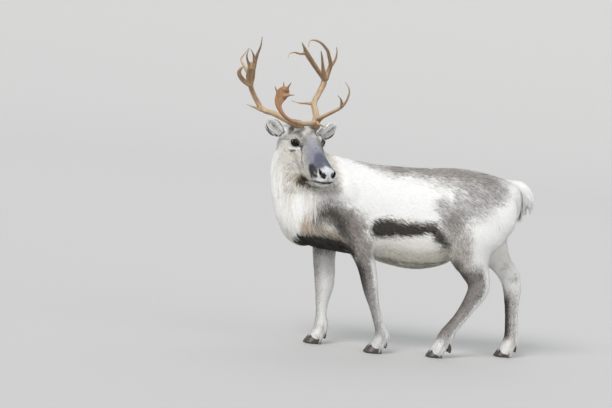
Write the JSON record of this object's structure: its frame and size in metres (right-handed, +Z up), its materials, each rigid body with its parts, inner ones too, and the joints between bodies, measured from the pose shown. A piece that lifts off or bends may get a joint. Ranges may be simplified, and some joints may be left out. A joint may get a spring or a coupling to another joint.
{
  "type": "reindeer",
  "caption": "Life-size standing reindeer cow in autumn coat, head turned to its left, with palmed antlers, long neck mane and cloven hooves, at rest on level ground.",
  "frame": {"origin": "on the floor, under the middle of the whole animal's box, antlers included", "axes": "+Z up; the body heads towards -X and its left side faces -Y; the head is turned to its left, towards -Y"},
  "size_m": [1.5449, 0.5164, 1.4388],
  "materials": {
    "white_coat": "matte fur",
    "grey_coat": "matte short fur",
    "hoof_horn": "satin horn",
    "antler_bone": "satin bone",
    "eye_wet": "wet gloss"
  },
  "bodies": {
    "root": {"torso": "white_coat", "neck": "white_coat", "head": "grey_coat", "tail": "white_coat", "ear_left": "white_coat", "ear_right": "white_coat", "eye_left": "eye_wet", "eye_right": "eye_wet", "leg_fore_left_upper": "grey_coat", "leg_fore_left_lower": "grey_coat", "hoof_fore_left_left": "hoof_horn", "dewclaw_fore_left_left": "hoof_horn", "hoof_fore_left_right": "hoof_horn", "dewclaw_fore_left_right": "hoof_horn", "leg_fore_right_upper": "grey_coat", "leg_fore_right_lower": "grey_coat", "hoof_fore_right_left": "hoof_horn", "dewclaw_fore_right_left": "hoof_horn", "hoof_fore_right_right": "hoof_horn", "dewclaw_fore_right_right": "hoof_horn", "leg_hind_left_upper": "grey_coat", "leg_hind_left_lower": "grey_coat", "hoof_hind_left_left": "hoof_horn", "dewclaw_hind_left_left": "hoof_horn", "hoof_hind_left_right": "hoof_horn", "dewclaw_hind_left_right": "hoof_horn", "leg_hind_right_upper": "grey_coat", "leg_hind_right_lower": "grey_coat", "hoof_hind_right_left": "hoof_horn", "dewclaw_hind_right_left": "hoof_horn", "hoof_hind_right_right": "hoof_horn", "dewclaw_hind_right_right": "hoof_horn", "antler_left_beam": "antler_bone", "antler_left_back_tine": "antler_bone", "antler_left_inner": "antler_bone", "antler_left_middle": "antler_bone", "antler_left_outer": "antler_bone", "antler_left_bez": "antler_bone", "antler_left_brow": "antler_bone", "antler_right_beam": "antler_bone", "antler_right_back_tine": "antler_bone", "antler_right_palm": "antler_bone"}
  },
  "joints": []
}
